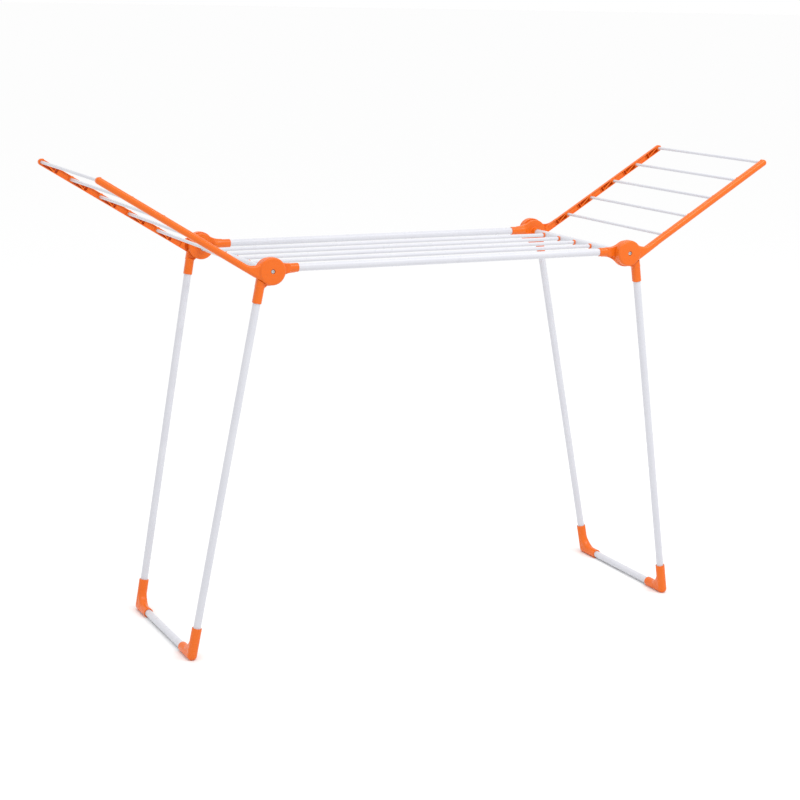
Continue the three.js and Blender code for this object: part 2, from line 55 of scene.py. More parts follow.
RECORD = frame["record"]
JOINTS = {joint["name"]: joint for joint in RECORD["behaviour"]["joints"]}
BODY_OF = {node: body for body, nodes in RECORD["behaviour"]["bodies"].items() for node in nodes}
SLOT_OF = {part["node"]: part["material_slot"] for part in RECORD["subparts"]}
HUB = Vector(JOINTS["wing_right_fold"]["pos_m"])
HUB_Z = HUB.z / MM
CORNERS = [f"{facing}_{side}" for side in ("right", "left") for facing in ("front", "rear")]

# Hub layers, as distances from the middle plane of the rack.
HUB_RADIUS = 32
BRACKET_INNER = 224
BRACKET_OUTER = 236
LEG_PLATE_INNER = 236.3
LEG_PLATE_OUTER = 246.7
ARM_DISC_INNER = 247
ARM_DISC_OUTER = 257

# Tubes and rods. The table and each wing have this many rods.
ROD_COUNT = 5
TUBE_RADIUS = 9
TUBE_WALL = 0.8
TUBE_BORE = 9.15
TABLE_ROD_RADIUS = 4.75
WING_ROD_RADIUS = 3.75
ROD_WALL = 0.6
RIM = 0.25
ROUND_SIDES = 56
RIM_STEPS = 4

# Corner bracket.
RAIL_D = 225
RAIL_RISE = 2.6
RAIL_END = 44.7
END_TUBE_OUT = 1
END_TUBE_RISE = -3
END_TUBE_HALF = 226.3
SLEEVE_RADIUS = 10.5
SLEEVE_START = 36
SLEEVE_END = 73
FLARE_RADIUS = 60
FILLET_RADIUS = 8
FLARE_OUTER = 228.2
FLARE_REACH = 50
BOSS_RADIUS = 12
BOSS_END = 208

# Pivot screw and nut.
SCREW_RADIUS = 2.5
SCREW_HOLE = 2.8
SCREW_HEAD_RADIUS = 4.6
SCREW_HEAD = (252.8, 255.8)
SCREW_TIP = 226.7
SCREW_CROSS_DEPTH = 1.8
SCREW_CROSS_HALF_WIDTH = 0.55
SCREW_CROSS_HALF_SPAN = 2.5
SCREW_CROSS_TAPER = 0.6
SCREW_RECESS_RADIUS = 5.4
SCREW_RECESS_FLOOR = 252.5
NUT = (226.7, 230.7)
NUT_APOTHEM = 4
NUT_CHAMFER_RATIO = 1.13
NUT_RECESS_RADIUS = 6
NUT_RECESS_FLOOR = 231

# Rod bush.
BUSH_COLLAR_RADIUS = 6.8
BUSH_COLLAR_LENGTH = 3.5
BUSH_SPIGOT_RADIUS = 5.8
BUSH_BORE = 4.9
BUSH_ROUNDING = 0.9
BUSH_STEPS = 5

# Wing arm, drawn flat with x running out from the pivot axis.
WING_ANGLE = math.radians(31.4)
WING_ROD_FIRST = 116
WING_ROD_PITCH = 83.6
WING_ROD_DROP = -24
WING_ROD_END = 243.7
WING_ROD_BORE = 3.95
ARM_BAR_INNER = 237
ARM_BAR_OUTER = 251.5
ARM_HALF_HEIGHT = 8
ARM_WALL = 2
ARM_EDGE = 5
ARM_NECK_CURVE = 35
ARM_NECK_OUTER = 254
NECK_RUN_OUT = 20
NECK_ROUNDING = 7
ARM_CLEAR_RADIUS = 41
POCKET_FLOOR = 246
PAD_FLOOR = 240
RIB = 1.5
SLOT_LENGTH = 7
SEAT_FACE = 235.5
SEAT_RADIUS = 6.2
BUMP_RADIUS = 3
BUMP_HEIGHT = 1.1
BUMP_WIDTH = 5
MARK_RADIUS = 15
MARK_PLACE = math.radians(38)
MARK_HALF = math.radians(14)
MARK_HALF_WIDTH = 0.8
MARK_HEIGHT = 0.4

# Leg frame, drawn hanging straight down.
LEG_SPLAY = math.radians(10)
LEG_OFFSET = 20.5
LEG_TOP_D = 243
FOOT_D = 199
FOOT_AXIS_Z = 11
LEG_LENGTH = (HUB_Z + LEG_OFFSET * math.sin(LEG_SPLAY) - FOOT_AXIS_Z) / math.cos(LEG_SPLAY)
LEG_TAPER = math.atan2(LEG_TOP_D - FOOT_D, LEG_LENGTH)
LEG_LINE = LEG_LENGTH / math.cos(LEG_TAPER)
LEG_TUBE_START = 45
SOCKET_HALF = 10.5
SOCKET_CORNER = 8.5
SOCKET_START = 38
SOCKET_END = 78
NECK_SHOULDER = 26
BRACKET_ROOM = 4.5
ELBOW_RADIUS = 12
ELBOW_ARM = 68
ELBOW_INSERT = 44
GUSSET_RADIUS = 32
GUSSET_HALF_WIDTH = 11

# Slack round moving neighbours, so that fillets never reach them.
SLACK = 0.3

# How far a shape runs on inside the one that it joins.
OVERLAP = 1
DEEP_OVERLAP = 2

# Grids that the fields are meshed on: their spacing, the room round a shape, and their span across the rack.
MOULDING_STEP = 0.7
SCREW_STEP = 0.22
NUT_STEP = 0.25
GRID_MARGIN = 3
WIDE_MARGIN = 4
SCREW_GRID_HALF = 6
SOCKET_GRID_D = (226, 256)
ARM_GRID_D = (233, 260)
SCREW_GRID_D = (225, 258)
NUT_GRID_D = (225, 232)

# Edges stay sharp beyond this angle in degrees.
SHARP_ANGLE = 40

# Base colours.
FLOOR_WHITE = (0.88, 0.88, 0.88)
ORANGE_DEEP = (0.72, 0.122, 0.007)
ORANGE_LIGHT = (0.78, 0.150, 0.010)
ORANGE_FLOWED = (0.82, 0.18, 0.016)
ORANGE_WORN = (0.88, 0.22, 0.03)
WHITE_SHADED = (0.575, 0.58, 0.63)
WHITE_LIGHT = (0.635, 0.64, 0.675)
WHITE_RUBBED = (0.53, 0.535, 0.57)
ZINC_DULL = (0.50, 0.51, 0.53)
ZINC_LIGHT = (0.66, 0.66, 0.65)
ZINC_WORN = (0.90, 0.90, 0.90)


# ---------------------------------------------------------------------------------------------------------
# Camera, stage and lights
# ---------------------------------------------------------------------------------------------------------

def add_object(name, data):
    """A new object for this mesh, light or camera, linked to the scene."""
    obj = bpy.data.objects.new(name, data)
    bpy.context.scene.collection.objects.link(obj)
    return obj


def add_camera():
    """The camera, at the photograph's viewing angle."""
    place = (-1.9917, -4.0893, 1.5230)
    yaw = math.radians(25.642)
    pitch = math.radians(-12.278)
    roll = math.radians(0.943)
    forward = Vector((math.sin(yaw) * math.cos(pitch), math.cos(yaw) * math.cos(pitch), math.sin(pitch)))
    level = Vector((math.cos(yaw), -math.sin(yaw), 0))
    above = level.cross(forward)
    right = math.cos(roll) * level + math.sin(roll) * above
    up = math.cos(roll) * above - math.sin(roll) * level
    turn = Matrix((right, up, -forward)).transposed().to_4x4()
    data = bpy.data.cameras.new("camera")
    data.lens = 82.5
    data.sensor_width = 36
    camera = add_object("camera", data)
    camera.matrix_world = Matrix.Translation(place) @ turn
    bpy.context.scene.camera = camera


def add_floor():
    """A pale round floor that runs out to the horizon."""
    radius = 400
    sides = 64
    angles = [2 * math.pi * i / sides for i in range(sides)]
    points = [(radius * math.cos(angle), radius * math.sin(angle), 0) for angle in angles]
    mesh = bpy.data.meshes.new("floor")
    mesh.from_pydata(points, [], [range(sides)])
    material = bpy.data.materials.new("floor")
    material.use_nodes = True
    shader = material.node_tree.nodes["Principled BSDF"]
    shader.inputs["Base Color"].default_value = (*FLOOR_WHITE, 1)
    shader.inputs["Roughness"].default_value = 0.9
    shader.inputs["Specular IOR Level"].default_value = 0
    mesh.materials.append(material)
    add_object("floor", mesh)


def add_sky_light(name, place, strength, spread):
    """An even, far-off soft light this many degrees across."""
    data = bpy.data.lights.new(name, "SUN")
    data.energy = strength
    data.angle = math.radians(spread)
    light = add_object(name, data)
    light.location = place
    light.rotation_euler = (-light.location).to_track_quat("-Z", "Y").to_euler()


def add_strip(name, place, length, width, power, tilt):
    """A long soft light along X, tilted this many degrees to face the rack and draw highlights on it."""
    data = bpy.data.lights.new(name, "AREA")
    data.shape = "RECTANGLE"
    data.size = length
    data.size_y = width
    data.energy = power
    light = add_object(name, data)
    light.location = place
    light.rotation_euler = (math.radians(tilt), 0, 0)


def add_studio():
    """White surroundings, two soft lights from above, and a strip in front for the highlights."""
    world = bpy.data.worlds.new("studio")
    world.use_nodes = True
    background = world.node_tree.nodes["Background"]
    background.inputs["Color"].default_value = (1, 1, 1, 1)
    background.inputs["Strength"].default_value = 1
    bpy.context.scene.world = world
    bpy.context.scene.view_settings.view_transform = "Standard"
    add_sky_light("key", place=(-1.0, -2.0, 6.0), strength=0.2, spread=12)
    add_sky_light("rear", place=(1.0, 3.0, 6.0), strength=0.2, spread=12)
    add_strip("strip", place=(1.0, -1.7, 3.5), length=3.6, width=0.2, power=52, tilt=30)


# ---------------------------------------------------------------------------------------------------------
# Materials
# ---------------------------------------------------------------------------------------------------------

class Surface:
    """A principled material whose nodes are added one call at a time."""

    # Where a Mix node of RGBA type keeps its two colours and its result.
    FIRST_COLOUR = 6
    SECOND_COLOUR = 7
    MIXED_COLOUR = 2

    def __init__(self, name, metallic=0, specular=0.5):
        """Starts with the shader alone. Textures are placed by the object's own coordinates."""
        self.material = bpy.data.materials.new(name)
        self.material.use_nodes = True
        self.tree = self.material.node_tree
        self.shader = self.tree.nodes["Principled BSDF"]
        self.shader.inputs["Metallic"].default_value = metallic
        self.shader.inputs["Specular IOR Level"].default_value = specular
        self.place = self.tree.nodes.new("ShaderNodeTexCoord").outputs["Object"]

    def noise(self, scale, detail=3, stretch=(1, 1, 1)):
        """Cloudy variation from 0 to 1, with this many blotches in a metre."""
        mapping = self.tree.nodes.new("ShaderNodeMapping")
        mapping.inputs["Scale"].default_value = stretch
        texture = self.tree.nodes.new("ShaderNodeTexNoise")
        texture.inputs["Scale"].default_value = scale
        texture.inputs["Detail"].default_value = detail
        self.tree.links.new(self.place, mapping.inputs["Vector"])
        self.tree.links.new(mapping.outputs["Vector"], texture.inputs["Vector"])
        return texture.outputs["Fac"]

    def edges(self):
        """Convexity of the surface, for wear along its edges."""
        return self.tree.nodes.new("ShaderNodeNewGeometry").outputs["Pointiness"]

    def scaled(self, value, source, target):
        """A value carried from one (low, high) range into another, and held inside it."""
        node = self.tree.nodes.new("ShaderNodeMapRange")
        node.inputs["From Min"].default_value = source[0]
        node.inputs["From Max"].default_value = source[1]
        node.inputs["To Min"].default_value = target[0]
        node.inputs["To Max"].default_value = target[1]
        self.tree.links.new(value, node.inputs["Value"])
        return node.outputs["Result"]

    def mixed(self, factor, first, second):
        """A colour between two others. Either may be a socket or an RGB triple."""
        node = self.tree.nodes.new("ShaderNodeMix")
        node.data_type = "RGBA"
        self.tree.links.new(factor, node.inputs["Factor"])
        for index, colour in ((self.FIRST_COLOUR, first), (self.SECOND_COLOUR, second)):
            socket = node.inputs[index]
            if isinstance(colour, tuple):
                socket.default_value = (*colour, 1)
            else:
                self.tree.links.new(colour, socket)
        return node.outputs[self.MIXED_COLOUR]

    def set(self, socket, value):
        """Drives one socket of the shader by this value."""
        self.tree.links.new(value, self.shader.inputs[socket])

    def bump(self, height, depth, previous=None):
        """Relief of this depth in metres, over any relief that is already there."""
        node = self.tree.nodes.new("ShaderNodeBump")
        node.inputs["Distance"].default_value = depth
        self.tree.links.new(height, node.inputs["Height"])
        if previous:
            self.tree.links.new(previous, node.inputs["Normal"])
        self.tree.links.new(node.outputs["Normal"], self.shader.inputs["Normal"])
        return node.outputs["Normal"]


def orange_plastic():
    """Moulded plastic: satin gloss, cloudy colour, a fine grain, and edges rubbed paler."""
    surface = Surface("orange_plastic", specular=0.3)
    body = surface.mixed(surface.noise(scale=14), ORANGE_DEEP, ORANGE_LIGHT)
    flow = surface.noise(scale=60, detail=4, stretch=(1, 3, 1))
    streaks = surface.scaled(flow, source=(0.55, 0.75), target=(0, 0.25))
    flowed = surface.mixed(streaks, body, ORANGE_FLOWED)
    wear = surface.scaled(surface.edges(), source=(0.55, 0.75), target=(0, 0.3))
    surface.set("Base Color", surface.mixed(wear, flowed, ORANGE_WORN))
    gloss = surface.noise(scale=45, detail=5)
    surface.set("Roughness", surface.scaled(gloss, source=(0.3, 0.7), target=(0.2, 0.32)))
    grain = surface.bump(surface.noise(scale=1600, detail=2), depth=0.000006)
    surface.bump(surface.noise(scale=90, detail=2), depth=0.00005, previous=grain)
    return surface.material


def white_tube():
    """White powder coat: faint orange peel, slightly uneven gloss, and a few grey rubs."""
    surface = Surface("white_tube", specular=0.4)
    body = surface.mixed(surface.noise(scale=9), WHITE_SHADED, WHITE_LIGHT)
    handling = surface.noise(scale=70, detail=6, stretch=(1, 1, 0.4))
    rubs = surface.scaled(handling, source=(0.62, 0.78), target=(0, 0.35))
    surface.set("Base Color", surface.mixed(rubs, body, WHITE_RUBBED))
    gloss = surface.noise(scale=55, detail=4)
    surface.set("Roughness", surface.scaled(gloss, source=(0.3, 0.7), target=(0.24, 0.38)))
    peel = surface.bump(surface.noise(scale=520, detail=2), depth=0.00002)
    surface.bump(surface.noise(scale=2400, detail=1), depth=0.000003, previous=peel)
    return surface.material


def zinc_steel():
    """Bright zinc plate: turned marks, cloudy tint, and edges rubbed bright."""
    surface = Surface("zinc_steel", metallic=1)
    body = surface.mixed(surface.noise(scale=220), ZINC_DULL, ZINC_LIGHT)
    wear = surface.scaled(surface.edges(), source=(0.52, 0.6), target=(0, 0.6))
    surface.set("Base Color", surface.mixed(wear, body, ZINC_WORN))
    gloss = surface.noise(scale=900, detail=4)
    surface.set("Roughness", surface.scaled(gloss, source=(0.3, 0.7), target=(0.22, 0.42)))
    surface.bump(surface.noise(scale=2500, detail=2, stretch=(1, 0.1, 1)), depth=0.00002)
    return surface.material


# ---------------------------------------------------------------------------------------------------------
# Meshes
# ---------------------------------------------------------------------------------------------------------

def finished_mesh(name, points, faces):
    """A smooth-shaded mesh that keeps its sharp edges."""
    mesh = bpy.data.meshes.new(name)
    mesh.from_pydata(points, [], faces)
    mesh.shade_smooth()
    mesh.set_sharp_from_angle(angle=math.radians(SHARP_ANGLE))
    return mesh


def turned(profile, sides=ROUND_SIDES):
    """Points and quads of a closed profile of (radius, length) turned about Y.

    The profile passes along the outside from its low end to its high end, so that its faces point out.
    """
    points = []
    for radius, along in profile:
        for i in range(sides):
            angle = 2 * math.pi * i / sides
            points.append((radius * math.sin(angle), along, radius * math.cos(angle)))
    faces = []
    for row in range(len(profile)):
        next_row = (row + 1) % len(profile)
        for i in range(sides):
            j = (i + 1) % sides
            faces.append((row * sides + i, row * sides + j, next_row * sides + j, next_row * sides + i))
    return np.array(points), faces


def quarter_turn(steps):
    """Angles from 0 to a right angle."""
    return [math.pi / 2 * i / steps for i in range(steps + 1)]


def tube_profile(radius, wall, low, high):
    """Section of a tube with its outer rims rounded, from the bore round the low end to the high end."""
    quarter = quarter_turn(RIM_STEPS)
    low_rim = [(radius - RIM + RIM * math.sin(a), low + RIM - RIM * math.cos(a)) for a in quarter]
    high_rim = [(radius - RIM + RIM * math.cos(a), high - RIM + RIM * math.sin(a)) for a in quarter]
    return [(radius - wall, low), *low_rim, *high_rim, (radius - wall, high)]


def surface_nets(field, low, high, step):
    """Points and quads of a field's zero surface, found on a grid with one point in each cell it crosses."""
    axes = [np.arange(a, b + step, step, dtype=np.float32) for a, b in zip(low, high)]
    values = field(*np.meshgrid(*axes, indexing="ij", sparse=True))
    cells = tuple(n - 1 for n in values.shape)
    total = np.zeros((*cells, 3), np.float32)
    count = np.zeros(cells, np.uint8)
    quads = []
    crossings = []
    for axis in range(3):
        near = np.delete(values, -1, axis)
        far = np.delete(values, 0, axis)
        crossed = (near < 0) != (far < 0)
        share = np.where(crossed, near / np.where(crossed, near - far, 1), 0)
        crossings.append((crossed, near < 0))
        first, second = [other for other in range(3) if other != axis]
        for i in (0, 1):
            for j in (0, 1):
                window = [slice(None)] * 3
                window[first] = slice(i, i + cells[first])
                window[second] = slice(j, j + cells[second])
                hit = crossed[tuple(window)]
                count += hit
                total[..., axis] += share[tuple(window)]
                total[..., first] += hit * i
                total[..., second] += hit * j
    used = count > 0
    index = np.full(cells, -1, np.int64)
    index[used] = np.arange(used.sum())
    points = np.argwhere(used) + total[used] / count[used][:, None]
    for axis, (crossed, rising) in enumerate(crossings):
        first, second = [(1, 2), (2, 0), (0, 1)][axis]
        edge = np.argwhere(crossed)
        inner = (edge[:, first] > 0) & (edge[:, second] > 0)
        edge = edge[inner]
        flip = rising[tuple(edge.T)]
        ring = []
        for i, j in ((1, 1), (0, 1), (0, 0), (1, 0)):
            cell = edge.copy()
            cell[:, first] -= i
            cell[:, second] -= j
            ring.append(index[tuple(cell.T)])
        ring = np.stack(ring, 1)
        quads.append(np.where(flip[:, None], ring, ring[:, ::-1]))
    return np.array(low) + points * step, np.concatenate(quads)


def settled(field, points, step):
    """Points moved onto the zero surface of a field along its slope, a limited way in each round."""
    rounds = 4
    nudge = 0.02
    least_steep = 0.25
    least_length = 1e-9
    longest = 0.4 * step
    for _ in range(rounds):
        value = field(*points.T)
        slope = np.stack([
            (field(*(points + nudge * side).T) - field(*(points - nudge * side).T)) / (2 * nudge)
            for side in np.eye(3)
        ], 1)
        steep = np.maximum((slope ** 2).sum(1), least_steep)
        move = slope * (value / steep)[:, None]
        length = np.maximum(np.linalg.norm(move, axis=1), least_length)
        points = points - move * np.minimum(1, longest / length)[:, None]
    return points


def moulded(field, low, high, step, keep):
    """Points and faces of a field, thinned to this share of its faces."""
    points, quads = surface_nets(field, low, high, step)
    points = settled(field, points, step)
    mesh = bpy.data.meshes.new("moulding")
    mesh.from_pydata(points, [], quads)
    obj = add_object("moulding", mesh)
    thinning = obj.modifiers.new("thinning", "DECIMATE")
    thinning.ratio = keep
    thinned = bpy.data.meshes.new_from_object(obj.evaluated_get(bpy.context.evaluated_depsgraph_get()))
    corners = np.array([vertex.co for vertex in thinned.vertices])
    faces = [tuple(face.vertices) for face in thinned.polygons]
    bpy.data.objects.remove(obj)
    bpy.data.meshes.remove(mesh)
    bpy.data.meshes.remove(thinned)
    return corners, faces


def placed(points, faces, matrix):
    """Points and faces carried by a matrix, with the faces turned over if it mirrors them."""
    grid = np.array(matrix)
    moved = points @ grid[:3, :3].T + grid[:3, 3]
    if matrix.determinant() < 0:
        faces = [face[::-1] for face in faces]
    return moved, faces


def add_piece(node, points, faces, matrix):
    """The finished piece that stands for one CAD node."""
    mesh = finished_mesh(f"{node}_shape", *placed(points, faces, matrix))
    mesh.materials.append(MATERIALS[SLOT_OF[node]])
    piece = add_object(f"{node}_piece", mesh)
    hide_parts(node)
    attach(piece, BODY_OF[node])


# ---------------------------------------------------------------------------------------------------------
# Fields: the distance in millimetres from a point to a surface, negative inside the piece
# ---------------------------------------------------------------------------------------------------------

def fuse(first, second, radius):
    """Both shapes, with a hollow fillet where they meet."""
    hollow = np.hypot(np.maximum(radius - first, 0), np.maximum(radius - second, 0))
    return np.maximum(radius, np.minimum(first, second)) - hollow


def common(first, second, radius):
    """What both shapes share, with the edge between them rounded."""
    rounding = np.hypot(np.maximum(radius + first, 0), np.maximum(radius + second, 0))
    return np.minimum(-radius, np.maximum(first, second)) + rounding


def remove(body, tool, radius=0.4):
    """The body without the tool, with the edge of the cut rounded."""
    return common(body, -tool, radius)


def between(value, low, high):
    """A slab in which a value lies between two others."""
    return np.maximum(low - value, value - high)


def circle(x, z, centre, radius):
    """A round outline."""
    return np.hypot(x - centre[0], z - centre[1]) - radius


def convex(x, z, corners):
    """A convex outline through these corners, in either order."""
    turning = [a[0] * b[1] - b[0] * a[1] for a, b in zip(corners, corners[1:] + corners[:1])]
    side = math.copysign(1, sum(turning))
    distance = -np.inf
    for (ax, az), (bx, bz) in zip(corners, corners[1:] + corners[:1]):
        across = side / math.hypot(bx - ax, bz - az)
        distance = np.maximum(distance, across * ((bz - az) * (x - ax) - (bx - ax) * (z - az)))
    return distance


def curve_fill(x, z, line_z, radius, upwards):
    """The web between the bracket's round body and a level line, up to a hollow curve that touches both."""
    centre_z = line_z + upwards * radius
    reach = math.sqrt((HUB_RADIUS + radius) ** 2 - (centre_z - END_TUBE_RISE) ** 2)
    centre = (END_TUBE_OUT - reach, centre_z)
    web = convex(x, z, [(END_TUBE_OUT, END_TUBE_RISE), centre, (centre[0], RAIL_RISE)])
    return np.maximum(web, -circle(x, z, centre, radius))


def bracket_outline(x, z, lower_radius):
    """The bracket seen from the front: a round body, a strip to the rail, and webs above and below it."""
    body = circle(x, z, (END_TUBE_OUT, END_TUBE_RISE), HUB_RADIUS)
    strip = np.maximum(between(x, -FLARE_REACH, 0), np.abs(z - RAIL_RISE) - SLEEVE_RADIUS)
    upper = curve_fill(x, z, RAIL_RISE + SLEEVE_RADIUS, FLARE_RADIUS, 1)
    lower = curve_fill(x, z, RAIL_RISE - SLEEVE_RADIUS, lower_radius, -1)
    return np.minimum(np.minimum(body, strip), np.minimum(upper, lower))


def corner_bracket(x, d, z):
    """Holds a rail and an end tube. Its wide lower curve stays inboard of the folded leg socket."""
    outline = bracket_outline(x, z, FILLET_RADIUS)
    body = common(outline, BRACKET_INNER - d, radius=3)
    body = common(body, d - BRACKET_OUTER, radius=0.6)
    flare = bracket_outline(x, z, FLARE_RADIUS)
    layer = common(flare, between(d, BRACKET_INNER, FLARE_OUTER), radius=1.5)
    beyond_nose = np.maximum(x + SLEEVE_START, 0)
    from_rail = np.sqrt((d - RAIL_D) ** 2 + (z - RAIL_RISE) ** 2 + beyond_nose ** 2)
    sleeve = common(from_rail - SLEEVE_RADIUS, -SLEEVE_END - x, radius=1.3)
    from_end_tube = np.hypot(x - END_TUBE_OUT, z - END_TUBE_RISE)
    boss_span = between(d, BOSS_END, BRACKET_OUTER - DEEP_OVERLAP)
    boss = common(from_end_tube - BOSS_RADIUS, boss_span, radius=1.2)
    solid = fuse(body, layer, radius=1.5)
    solid = fuse(solid, sleeve, radius=3)
    solid = fuse(solid, boss, radius=2.5)
    solid = np.maximum(solid, d - BRACKET_OUTER)
    rail_bore = np.maximum(np.hypot(d - RAIL_D, z - RAIL_RISE) - TUBE_BORE, x + RAIL_END)
    tube_bore = np.maximum(from_end_tube - TUBE_BORE, d - END_TUBE_HALF)
    from_pivot = np.hypot(x, z)
    nut_recess = np.maximum(from_pivot - NUT_RECESS_RADIUS, d - NUT_RECESS_FLOOR)
    solid = remove(solid, rail_bore, radius=0.5)
    solid = remove(solid, tube_bore, radius=0.5)
    return remove(np.maximum(solid, -nut_recess), from_pivot - SCREW_HOLE)


def pivot_screw(x, d, z):
    """Pan-head screw with a cross recess that narrows as it goes in."""
    from_pivot = np.hypot(x, z)
    crown = common(from_pivot - SCREW_HEAD_RADIUS, d - SCREW_HEAD[1], radius=1.4)
    head = np.maximum(crown, SCREW_HEAD[0] - d)
    shank_span = between(d, SCREW_TIP, SCREW_HEAD[0] + OVERLAP)
    shank = common(from_pivot - SCREW_RADIUS, shank_span, radius=0.4)
    depth = np.clip(SCREW_HEAD[1] - d, 0, SCREW_CROSS_DEPTH)
    span = SCREW_CROSS_HALF_SPAN - SCREW_CROSS_TAPER * depth
    floor = SCREW_HEAD[1] - SCREW_CROSS_DEPTH - d
    slot_x = np.maximum(np.abs(x) - span, np.abs(z) - SCREW_CROSS_HALF_WIDTH)
    slot_z = np.maximum(np.abs(z) - span, np.abs(x) - SCREW_CROSS_HALF_WIDTH)
    cross = np.maximum(np.minimum(slot_x, slot_z), floor)
    return remove(np.minimum(head, shank), cross, radius=0.2)


def pivot_nut(x, d, z):
    """Hexagonal nut with its corners chamfered."""
    turns = [math.radians(angle) for angle in (0, 60, 120)]
    flats = [np.abs(x * math.sin(turn) + z * math.cos(turn)) - NUT_APOTHEM for turn in turns]
    hexagon = np.maximum(np.maximum(flats[0], flats[1]), flats[2])
    from_pivot = np.hypot(x, z)
    height = between(d, *NUT)
    chamfered = common(from_pivot - NUT_APOTHEM * NUT_CHAMFER_RATIO, height, radius=0.8)
    solid = np.maximum(np.maximum(hexagon, chamfered), height)
    return remove(solid, from_pivot - SCREW_HOLE)


def along_leg(d, z):
    """How far down the tapering line of a leg a point is, and how far outboard of it across the rack."""
    down = -(d - LEG_TOP_D) * math.sin(LEG_TAPER) - z * math.cos(LEG_TAPER)
    across = (d - LEG_TOP_D) * math.cos(LEG_TAPER) - z * math.sin(LEG_TAPER)
    return down, across


def seat_height(x):
    """Height in the leg frame of the plane that the raised wing arm rests on."""
    slope = WING_ANGLE - LEG_SPLAY
    return (x * math.sin(slope) - HUB_RADIUS - SLACK) / math.cos(slope)


def leg_neck(x, d, z, column):
    """The web from the leg plate down to the socket, as thick as the socket's column under the wing arm."""
    inboard = LEG_OFFSET - SOCKET_HALF
    outboard = LEG_OFFSET + SOCKET_HALF
    foot = -SOCKET_START - DEEP_OVERLAP
    plate = convex(x, z, [
        (0, DEEP_OVERLAP - HUB_RADIUS),
        (inboard, foot),
        (outboard, foot),
        (outboard, seat_height(outboard)),
        (NECK_SHOULDER, -SOCKET_HALF),
    ])
    inner = common(plate, between(d, LEG_PLATE_INNER, LEG_PLATE_OUTER), radius=0.8)
    under_arm = np.maximum(column, between(z, foot, seat_height(x)))
    outer = common(under_arm, LEG_PLATE_OUTER - OVERLAP - d, radius=0.8)
    return np.minimum(inner, outer)


def leg_socket(x, d, z):
    """Turns on the pivot screw between the bracket and the wing arm, and holds the top of a leg tube."""
    from_pivot = np.hypot(x, z)
    plate = common(from_pivot - HUB_RADIUS, between(d, LEG_PLATE_INNER, LEG_PLATE_OUTER), radius=1)
    down, across = along_leg(d, z)
    flat = SOCKET_HALF - SOCKET_CORNER
    over_x = np.abs(x - LEG_OFFSET) - flat
    over_d = np.abs(across) - flat
    corner = np.hypot(np.maximum(over_x, 0), np.maximum(over_d, 0))
    section = corner + np.minimum(np.maximum(over_x, over_d), 0) - SOCKET_CORNER
    block = common(section, between(down, SOCKET_START, SOCKET_END), radius=2)
    solid = fuse(plate, leg_neck(x, d, z, section), radius=2)
    solid = fuse(solid, block, radius=2)
    under_arm = (z - seat_height(x)) * math.cos(WING_ANGLE - LEG_SPLAY)
    arm_room = np.maximum(LEG_PLATE_OUTER - d, -under_arm)
    bracket_room = np.maximum(d - LEG_PLATE_INNER, from_pivot - HUB_RADIUS - BRACKET_ROOM)
    solid = np.maximum(np.maximum(solid, -arm_room), -bracket_room)
    from_leg = np.hypot(x - LEG_OFFSET, across)
    bore = np.maximum(from_leg - TUBE_BORE, LEG_TUBE_START - SLACK - down)
    return remove(remove(solid, bore, radius=0.6), from_pivot - SCREW_HOLE)


def bar_of_arm(x, d, z):
    """The arm's D-shaped bar, with a rounded end about the outermost rod."""
    last = WING_ROD_FIRST + (ROD_COUNT - 1) * WING_ROD_PITCH
    height = np.hypot(np.maximum(x - last, 0), z - WING_ROD_DROP)
    beyond = np.maximum(d - (ARM_BAR_OUTER - ARM_HALF_HEIGHT), 0)
    section = np.hypot(height, beyond) - ARM_HALF_HEIGHT
    return np.maximum(common(section, ARM_BAR_INNER - d, radius=0.5), HUB_RADIUS / 2 - x)


def neck_of_arm(x, d, z):
    """The web where the bar widens into the hub disc, with a hollow curve along its upper side."""
    curve_z = WING_ROD_DROP + ARM_HALF_HEIGHT + ARM_NECK_CURVE
    curve_x = math.sqrt((HUB_RADIUS + ARM_NECK_CURVE) ** 2 - curve_z ** 2)
    web = convex(x, z, [(0, 0), (0, -HUB_RADIUS), (curve_x, -HUB_RADIUS), (curve_x, curve_z)])
    curved = np.maximum(web, -circle(x, z, (curve_x, curve_z), ARM_NECK_CURVE))
    run_out = curve_x + NECK_RUN_OUT
    along_bar = np.maximum(np.abs(z - WING_ROD_DROP) - ARM_HALF_HEIGHT, between(x, 0, run_out))
    slope = (ARM_NECK_OUTER - ARM_BAR_OUTER) / (run_out - HUB_RADIUS)
    face = ARM_NECK_OUTER - slope * np.clip(x - HUB_RADIUS, 0, None)
    rounded = common(np.minimum(curved, along_bar), d - face, radius=NECK_ROUNDING)
    return np.maximum(rounded, ARM_DISC_INNER - d)


def pockets(along, d, z, length):
    """The pockets between two rod seats: a shallow half, a deep slot in the middle and a braced half."""
    reach = ARM_HALF_HEIGHT - ARM_WALL
    slot_start = length / 2 - SLOT_LENGTH / 2
    slot_end = length / 2 + SLOT_LENGTH / 2
    start = slot_end + RIB
    end = length - SEAT_RADIUS
    up = z - WING_ROD_DROP
    walls = np.abs(up) - reach
    shallow = np.maximum(between(along, SEAT_RADIUS, slot_start - RIB), d - PAD_FLOOR)
    slot = np.maximum(between(along, slot_start, slot_end), d - POCKET_FLOOR)
    below = convex(along, up, [(start, -reach), (end, -reach), (end, reach - 2 * RIB)])
    above = convex(along, up, [(start, 2 * RIB - reach), (end, reach), (start, reach)])
    braced = np.maximum(np.minimum(below, above), d - POCKET_FLOOR)
    return np.minimum(np.maximum(np.minimum(shallow, slot), walls), braced)


